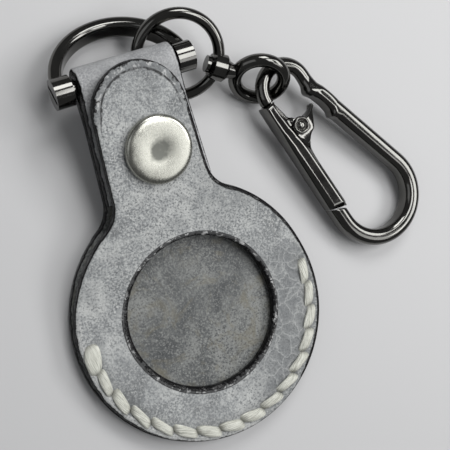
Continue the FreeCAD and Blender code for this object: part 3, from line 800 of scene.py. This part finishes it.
def stitch(points, faces, tints, which, start, end, *, level, rise, dip, wide, high, slant, skew, blunt):
    """Add one stitch from hole to hole. Its ends dip, its belly rises, and blunt is its ends' share of the width."""
    ids = ring_ids(STITCH_RINGS + 1, STITCH_SIDES, len(points))
    a, b = Vector(start), Vector(end)
    along = (b - a).normalized()
    side = Vector((-along.y, along.x))
    twist = random.uniform(0, 6.28)
    for k in range(STITCH_RINGS + 1):
        s = k / STITCH_RINGS
        belly = math.sin(math.pi * min(0.98, max(0.02, s)))
        centre = a + (b - a) * s + side * slant * math.cos(math.pi * s)
        lift = level + rise * belly ** 0.7 - dip * (1 - belly) ** 3
        half_wide = wide * (blunt + (1 - blunt) * belly ** 0.5)
        half_high = high * (0.55 + 0.45 * belly ** 0.5)
        for i in range(STITCH_SIDES):
            t = 2 * math.pi * i / STITCH_SIDES
            ply = 1 + 0.07 * math.cos(2 * t + twist + 5.0 * s) + 0.035 * math.cos(7 * t - 6.0 * s)
            u = math.copysign(abs(math.cos(t)) ** 0.85, math.cos(t)) * half_wide * ply
            p = centre + side * u - along * u * skew
            points.append((p.x, p.y, lift + math.sin(t) * half_high * ply))
            tints["along"].append(s)
            tints["around"].append(3.0 * math.cos(t + 0.7 * s) + 1.2 * math.sin(t + 0.7 * s))
            tints["which"].append(which * 1.7)
            # Marks where painted shade falls on the stitch's ends
            tints["dip"].append((1 - belly) ** 4)
    for p, q in zip(ids, ids[1:]):
        faces += between(q, p)
    faces += [ids[0], ids[-1][::-1]]


def stitching():
    points, faces = [], []
    tints = {"along": [], "around": [], "which": [], "dip": []}
    for i, (a, b) in enumerate(zip(HOLES, HOLES[1:])):
        if i == 0:
            form, before, after = FIRST_STITCH, 0.7, 0.3
        else:
            form = {"wide": random.uniform(0.98, 1.14), "high": random.uniform(0.38, 0.46),
                    "slant": random.uniform(0.2, 0.42), "skew": 0.42, "blunt": 0.58}
            before = after = 0.1
        step = (Vector(b) - Vector(a)).normalized()
        start, end = Vector(a) - step * before, Vector(b) + step * after
        stitch(points, faces, tints, i, start, end, level=LEATHER * 2 + 0.08, rise=0.16, dip=0.75, **form)
        stitch(points, faces, tints, i + REAR_NUMBER, a, b, **REAR_STITCH)
    return mesh_object("stitching", points, faces, (THREAD,), attributes=tints)


dress(stitching(), "pocket", "thread", "stitch_thread")

# Press stud's cap, turned: a dished dome with a rolled rim, flat below, with a post

STUD = Matrix.Translation((0, *on_neck(STUD_ALONG, 0.0))) @ Matrix.Rotation(SLOPE, 4, "X")
CAP_LOW, CAP_TOP = TONGUE_LOW + LEATHER, TONGUE_LOW + LEATHER + 1.5
POST_R, POST_END = 1.6, 5.92
# The cap is darker and duller towards the middle of its dish
DARK_MIDDLE, DARK_FROM, DARK_TO = (0.15, -0.1), 0.7, 3.0
dome = [(0.0, -0.17), (1.0, -0.16), (1.9, -0.11), (2.8, -0.04), (3.8, 0.0), (4.8, -0.01), (5.5, -0.06),
        (5.95, -0.2), (6.22, -0.48), (6.34, -0.85), (6.28, -1.2), (5.9, -1.48)]
cap_profile = eased([(r, CAP_TOP + n) for r, n in dome])
cap_profile += [(5.8, CAP_LOW + 0.02), (POST_R, CAP_LOW + 0.02), (POST_R, POST_END), (0.0, POST_END)]
cap_points, cap_faces = lathe(cap_profile, STUD)
cap_darkening = [1 - smooth_step(((STUD.inverted() @ Vector(p)).xy - Vector(DARK_MIDDLE)).length, DARK_FROM, DARK_TO)
            for p in cap_points]
cap = mesh_object("snap_cap_shell", cap_points, cap_faces, (CAP,), attributes={"darkening": cap_darkening})
dress(cap, "flap", "snap_metal", "snap_cap")

# Carabiner, in its own flat frame: X along its length, Y towards the spine, Z up

CARABINER = (Matrix.Translation((29.95, 35.0, 4.95)) @ Matrix.Rotation(math.radians(-71.1), 4, "Z")
             @ Matrix.Rotation(math.radians(4.0), 4, "Y"))
TOP_BEND, HOOK_BEND, HOOK = 4.7, 8.6, (28.5, 3.35)
BAR, DEPTH, WIRE = 3.3, 4.4, 2.84
SHOULDER_X, CORNER_X = 0.3, 3.3
SPINE_END, SPINE_LEAN = (25.985, 11.574), 17.0
NOSE, NOSE_RINGS, NOSE_SHEAR = (25.55, -5.25), 28, 0.515
SCALLOP_FROM, SCALLOP_TO, SCALLOP_DEEP = 3.2, 9.6, 0.62
TOOTH_HIGH, TOOTH_HALF = 0.34, 1.1
BAR_CORNER = 1.42
RIVET, RIVET_HOLE = (7.3, -2.25), 0.96
PLATE_R, PLATE_HALF, PLATE_ROUND = 1.8, 0.7, 0.08


def frame_path():
    """Middle line from the shoulder over the top bend, down the spine and round the hook to the nose."""
    path = run((SHOULDER_X, -TOP_BEND), (0, -TOP_BEND), 0.1) + arc(0, 0, TOP_BEND, 270, 90, 0.2)
    corner = (CORNER_X, SPINE_END[1] + (CORNER_X - SPINE_END[0]) * math.tan(math.radians(SPINE_LEAN)))
    path += run((0, TOP_BEND), corner, 0.15) + run(corner, SPINE_END, 0.15)
    path += arc(*HOOK, HOOK_BEND, 90 + SPINE_LEAN, -90, 0.25) + run((HOOK[0], HOOK[1] - HOOK_BEND), NOSE, 0.15)
    return softened(path + [NOSE], 8)


def rounded_ring(outer, inner, half_deep, corner, steps=9):
    """A rounded rectangle from u = -inner to outer, counterclockwise, as (u, v) pairs."""
    ring = []
    for cu, cv, start in ((outer - corner, half_deep - corner, 0), (corner - inner, half_deep - corner, 90),
                          (corner - inner, corner - half_deep, 180), (outer - corner, corner - half_deep, 270)):
        for k in range(steps):
            t = math.radians(start + 90 * k / (steps - 1))
            ring.append((cu + corner * math.cos(t), cv + corner * math.sin(t)))
    return ring


def carabiner_frame():
    """The bar, round at the top bend and deeper along the spine and hook, with a sheared nose."""
    path = frame_path()
    last = len(path) - 1
    rings = []
    for k, (x, y) in enumerate(path):
        ahead, behind = path[min(last, k + 1)], path[max(0, k - 1)]
        tangent = Vector((ahead[0] - behind[0], ahead[1] - behind[1])).normalized()
        spine = y > 0 and x > 0
        full = 1.0 if x > 8 else (smooth_step(x, 0.6, 5.0) if spine else 0.0)
        outer = inner = (WIRE + (BAR - WIRE) * full) / 2
        deep = (WIRE + (DEPTH - WIRE) * full) / 2
        if spine:
            # The scallop on the inner side, with a pointed tooth at each end
            t = (x - SCALLOP_FROM) / (SCALLOP_TO - SCALLOP_FROM)
            if 0 < t < 1:
                inner -= SCALLOP_DEEP * (1 - (2 * t - 1) ** 2)
            for end in (SCALLOP_FROM, SCALLOP_TO):
                inner += TOOTH_HIGH * max(0.0, 1 - abs(x - end) / TOOTH_HALF)
        shear = NOSE_SHEAR * smooth_step(len(path) - k, NOSE_RINGS, 1)
        if k in (0, last):
            outer, inner, deep = outer - 0.1, inner - 0.1, deep - 0.1
        corner = min(outer, inner, deep, BAR_CORNER) - 0.02
        rings.append([CARABINER @ Vector((x - tangent.y * u - shear * u, y + tangent.x * u, v))
                      for u, v in rounded_ring(outer, inner, deep, corner)])
    return capped_rings(rings)


def tongue_plate():
    """The thin plate that runs from the shoulder into the gate's slot and holds the rivet."""
    rx, ry = RIVET
    flat = [(0.0, -5.4), (3.8, -5.4), (rx, ry - PLATE_R)]
    flat += arc(rx, ry, PLATE_R, -90, 90, 0.2) + [(rx, ry + PLATE_R), (3.8, -4.0), (0.0, -4.0)]
    edge = PLATE_HALF - PLATE_ROUND
    levels = ((PLATE_ROUND, -PLATE_HALF), (0.0, -edge), (0.0, edge), (PLATE_ROUND, PLATE_HALF))
    return capped_rings([[CARABINER @ Vector((x, y, z)) for x, y in inset(flat, by)] for by, z in levels])


frame_piece = mesh_object("carabiner_bar", *joined(carabiner_frame(), tongue_plate()), (DARK,), sharp=50)
dress(frame_piece, "carabiner", "dark_metal", "carabiner_frame")

# Gate: a flat-topped ridge with sloping sides, a lower lobe with the rivet's hole and a horn, and a slot for the tongue

STRIP_MIDDLE = ((0.5, -5.55), (3.0, -5.6), (5.5, -5.5), (8.0, -5.25), (10.5, -5.02), (13.0, -4.97), (26.0, -4.97))
STRIP_HALF = ((0.5, 0.68), (4.0, 0.8), (8.0, 0.86), (12.0, 1.04), (26.0, 1.08))
STRIP_START, STRIP_STEP, STRIP_COUNT = 0.95, 0.25, 94
STRIP_LINES = (0.46, 0.4, 0.3, 0.2, 0.1, 0.0, -0.1, -0.16)  # mesh lines along the strip's edge, inwards first
GATE_RIM = ((0.0, 0.3), (0.05, 0.12), (0.15, 0.03), (0.3, 0.0))  # how far in, and how far down
LOBE_R, SIDE_SLOPE, SIDE_LEAST, GATE_BLEND = 3.1, 0.95, 0.95, 0.12
GRID_X, GRID_Y = (0.5, 26.4, 0.4), (-7.0, 3.0, 0.36)  # the mesh's first and last place, and its step
RIM_CLEAR, STRIP_CLEAR, LINE_BREAK, GRID_JITTER = 0.12, (-0.6, 0.3), 0.6, 0.05


def along_table(table, x):
    """The table's value at x, eased from entry to entry."""
    for (ax, av), (bx, bv) in zip(table, table[1:]):
        if x <= bx:
            return av + (bv - av) * smooth_step(x, ax, bx)
    return table[-1][1]


def gate_outline():
    start, toe, heel, foot = (0.5, -6.35), (24.6, -6.9), (26.3, -3.0), (12.6, -3.0)
    horn, shoulder = (5.6, 2.9), (0.5, -4.15)
    cheek = (RIVET[0] + LOBE_R * math.cos(math.radians(45)), RIVET[1] + LOBE_R * math.sin(math.radians(45)))
    loop = run(start, toe, 0.3) + run(toe, heel, 0.25) + run(heel, foot, 0.3)
    loop += arc_through(foot, ((foot[0] + cheek[0]) / 2, (foot[1] + cheek[1]) / 2 - 0.6), cheek)
    loop += run(cheek, horn, 0.2)
    loop += arc_through(horn, (RIVET[0] - 1.8, RIVET[1] - 0.9), shoulder)
    loop += run(shoulder, start, 0.25)
    # Smooth the hollow where the lobe meets the ridge
    for _ in range(40):
        loop = [((a[0] + c[0]) / 2, (a[1] + c[1]) / 2) if math.dist(p, foot) < 2.6 else p
                for a, p, c in zip(loop[-1:] + loop[:-1], loop, loop[1:] + loop[:1])]
    return loop


def strip_outline():
    """The raised strip, its far end cut on a slant like the nose."""
    xs = [STRIP_START + STRIP_STEP * i for i in range(STRIP_COUNT)]
    low = [(x, along_table(STRIP_MIDDLE, x) - along_table(STRIP_HALF, x)) for x in xs]
    high = [(x + 0.62 * smooth_step(x, 23.0, 24.2), along_table(STRIP_MIDDLE, x) + along_table(STRIP_HALF, x))
            for x in reversed(xs)]
    return low + run(low[-1], high[0], 0.2)[1:] + high + run(high[-1], low[0], 0.2)[1:]


def gate_body():
    outline, strip = gate_outline(), strip_outline()
    half = DEPTH / 2

    def top(x, y):
        """Height of the upper face: the crowned strip, its sloping sides and the lobe that falls to the horn."""
        off = to_loop((x, y), strip)
        ridge = half - 0.1 * min(1.0, max(0.0, (off + 0.4) / 0.5)) ** 2 - max(0.0, off - 0.1) * SIDE_SLOPE
        if off < -0.2 or y < along_table(STRIP_MIDDLE, x):
            return max(ridge, SIDE_LEAST)
        lobe = half - 0.3 - 1.0 * smooth_step(x, 8.6, 13.0) - 1.1 * smooth_step(y, RIVET[1] + 1.7, 3.2)
        return GATE_BLEND * math.log(math.exp(ridge / GATE_BLEND) + math.exp(lobe / GATE_BLEND))

    points, faces = [], []

    def add(x, y, z):
        points.append((x, y, z))
        return len(points) - 1

    rim = [[add(x, y, top(x, y) - drop) for x, y in inset(outline, depth)] for depth, drop in GATE_RIM]
    for a, b in zip(rim, rim[1:]):
        faces += between(a, b)
    border = [points[i][:2] for i in rim[-1]]
    guard = inset(border, RIM_CLEAR)
    field, lines = [], []
    for by in STRIP_LINES:
        kept = [p for p in inset(strip, by) if inside(p, guard)]
        lines += [(len(field) + i, len(field) + i + 1) for i in range(len(kept) - 1)
                  if math.dist(kept[i], kept[i + 1]) < LINE_BREAK]
        field += kept
    y = GRID_Y[0]
    while y < GRID_Y[1]:
        x = GRID_X[0]
        while x < GRID_X[1]:
            p = (x + random.uniform(-GRID_JITTER, GRID_JITTER), y + random.uniform(-GRID_JITTER, GRID_JITTER))
            if inside(p, guard) and not STRIP_CLEAR[0] < to_loop(p, strip) < STRIP_CLEAR[1]:
                field.append(p)
            x += GRID_X[2]
        y += GRID_Y[2]
    fill, known, triangles = triangulate([border], field, lines)
    lookup = [add(*spot, top(*spot)) if k is None else rim[-1][k] for spot, k in zip(fill, known)]
    faces += [[lookup[i] for i in tri] for tri in triangles]
    # The underside mirrors the top, and a wall joins the two rims
    total = len(points)
    points += [(x, y, -z) for x, y, z in points]
    faces += [[i + total for i in reversed(face)] for face in faces]
    faces += between([i + total for i in rim[0]], rim[0])
    return [tuple(CARABINER @ Vector(p)) for p in points], faces


def prism(corners, low, high):
    """A straight block over flat corners, in the carabiner's frame."""
    return capped_rings([[CARABINER @ Vector((x, y, z)) for x, y in corners] for z in (low, high)])


SLOT_CORNERS, SLOT_HALF = ((-1.0, -5.75), (11.2, -5.75), (11.2, -0.3), (-1.0, -0.3)), 1.3
gate = mesh_object("gate_body", *gate_body(), (DARK,))
cut(gate, prism(SLOT_CORNERS, -SLOT_HALF, SLOT_HALF), prism(arc(*RIVET, RIVET_HOLE, 0, 360, 0.15), -4.0, 4.0))
gate.data.set_sharp_from_angle(angle=math.radians(38))
dress(gate, "gate", "dark_metal", "carabiner_gate")

rivet_profile = [(0.0, 2.56), (0.4, 2.53), (0.68, 2.42), (0.84, 2.2), (0.9, 2.08), (0.98, 2.08), (1.05, 2.28),
                 (1.22, 2.49), (1.42, 2.56), (1.6, 2.5), (1.74, 2.28), (1.78, 1.94), (0.9, 1.93)]
rivet_profile += [(r, -n) for r, n in reversed(rivet_profile)]
RIVET_SEAT = CARABINER @ Matrix.Translation((*RIVET, 0.0))
rivet = mesh_object("rivet_heads", *lathe(rivet_profile, RIVET_SEAT, 64), (DARK,))
dress(rivet, "carabiner", "dark_metal", "gate_rivet")

# Plain finishes on the solids that stay
METAL = {"snap_metal": NICKEL, "spring_wire": NICKEL, "dark_metal": DARK}
for part in frame["record"]["subparts"]:
    node = frame["nodes"][part["node"]]
    if part["material_slot"] in METAL:
        for slot in node.material_slots:
            slot.material = METAL[part["material_slot"]]

# Floor, light and camera

FLOOR_HALF, FLOOR_Z = 900, -0.05
floor_corners = [(x * FLOOR_HALF, y * FLOOR_HALF, FLOOR_Z) for x, y in ((-1, -1), (1, -1), (1, 1), (-1, 1))]
floor = mesh_object("floor", floor_corners, [(0, 1, 2, 3)], (floor_material(),), smooth=False)


def facing(place, target):
    """Right, up and backward directions of something at place that looks at target."""
    back_way = (Vector(place) - Vector(target)).normalized()
    right_way = Vector((0, 1, 0)).cross(back_way).normalized()
    return right_way, back_way.cross(right_way), back_way


def lamp(name, place, target, size, power, colour=(1, 1, 1)):
    data = bpy.data.lights.new(name, "AREA")
    data.shape = "RECTANGLE"
    data.size, data.size_y = size[0] * MM, size[1] * MM
    data.energy = power
    data.color = colour
    piece = bpy.data.objects.new(name, data)
    turn = Matrix(facing(place, target)).transposed()
    piece.matrix_world = Matrix.Translation(Vector(place) * MM) @ turn.to_4x4()
    SCENE.collection.objects.link(piece)


# Panels in one plane round a dark middle, which the polished metal mirrors
PANELS_MIDDLE, PANELS_AIM = Vector((189.0, -32.0, 299.0)), Vector((20.0, 14.0, 4.0))
panel_side, panel_up, panel_back = facing(PANELS_MIDDLE, PANELS_AIM)
for name, over, up, size, power in (
        ("panel_left", -95, 48, (110, 184), 0.37), ("panel_right", 95, 20, (110, 240), 0.48),
        ("panel_top", 0, 115, (80, 50), 0.07), ("panel_low", -22, -132, (156, 144), 0.16)):
    spot = PANELS_MIDDLE + panel_side * over + panel_up * up
    lamp(name, spot, spot - panel_back, size, power)
lamp("key", (100, 240, 280), (0, 10, 0), (150, 150), 0.5)
lamp("fill", (-240, 60, 260), (0, 10, 0), (240, 240), 0.1, (0.95, 0.975, 1.0))
world = bpy.data.worlds.new("studio")
world.use_nodes = True
sky = world.node_tree.nodes["Background"].inputs
sky["Color"].default_value = (0.5, 0.505, 0.51, 1.0)
sky["Strength"].default_value = 0.24
SCENE.world = world

# The camera's turns in radians, and where it sees the frame's origin, in millimetres
CAMERA_X, CAMERA_Y, CAMERA_Z = -0.031, 0.341, 0.346
ORIGIN_SEEN = Vector((-5.5, -16.5, -172.908))
camera = bpy.data.objects.new("camera", bpy.data.cameras.new("camera"))
camera.data.lens = 72.0
camera.data.sensor_width = 36.0
camera.data.clip_start = 0.01
to_camera = Matrix.Rotation(CAMERA_X, 3, "X") @ Matrix.Rotation(CAMERA_Y, 3, "Y") @ Matrix.Rotation(CAMERA_Z, 3, "Z")
from_camera = to_camera.transposed()
camera.matrix_world = Matrix.Translation(-(from_camera @ ORIGIN_SEEN) * MM) @ from_camera.to_4x4()
SCENE.collection.objects.link(camera)
SCENE.camera = camera
SCENE.view_settings.view_transform = "Standard"
